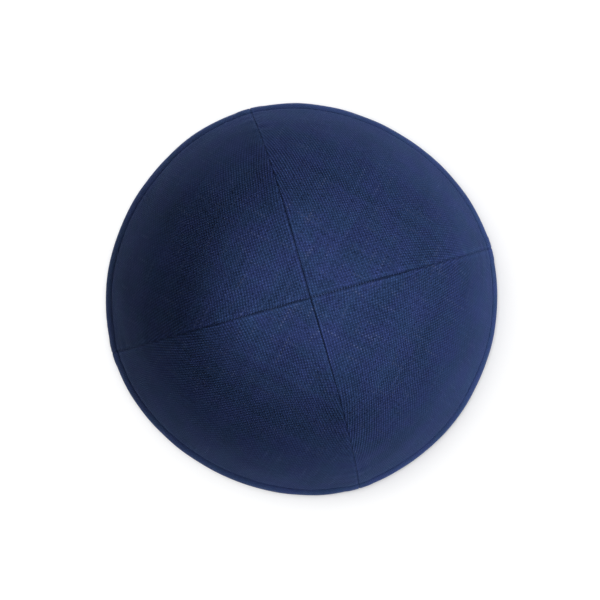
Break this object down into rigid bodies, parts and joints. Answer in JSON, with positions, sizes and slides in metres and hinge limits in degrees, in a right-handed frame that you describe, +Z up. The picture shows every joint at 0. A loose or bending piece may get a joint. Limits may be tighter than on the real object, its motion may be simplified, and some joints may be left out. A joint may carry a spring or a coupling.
{
  "type": "kippah skullcap",
  "caption": "Round domed skullcap of sewn linen panels with seams meeting at the crown and a folded, topstitched hem; open below, it sits on the crown of a head.",
  "frame": {"origin": "middle of the hem's foot, on the surface that the cap stands on", "axes": "+Z up through the crown; the long seam runs from back (+Y) to front (-Y), and the two short seams run to +X and -X"},
  "size_m": [0.176, 0.1766, 0.0648],
  "materials": {
    "panel_linen": "matte navy linen in plain weave, with thicker slub threads and a soft pale sheen at grazing angles",
    "hem_linen": "the same navy linen, folded to a soft rounded edge and topstitched in matching thread"
  },
  "bodies": {
    "root": {"panel_back_right": "panel_linen", "panel_back_left": "panel_linen", "panel_front_left": "panel_linen", "panel_front_right": "panel_linen", "rim_hem": "hem_linen"}
  },
  "joints": []
}
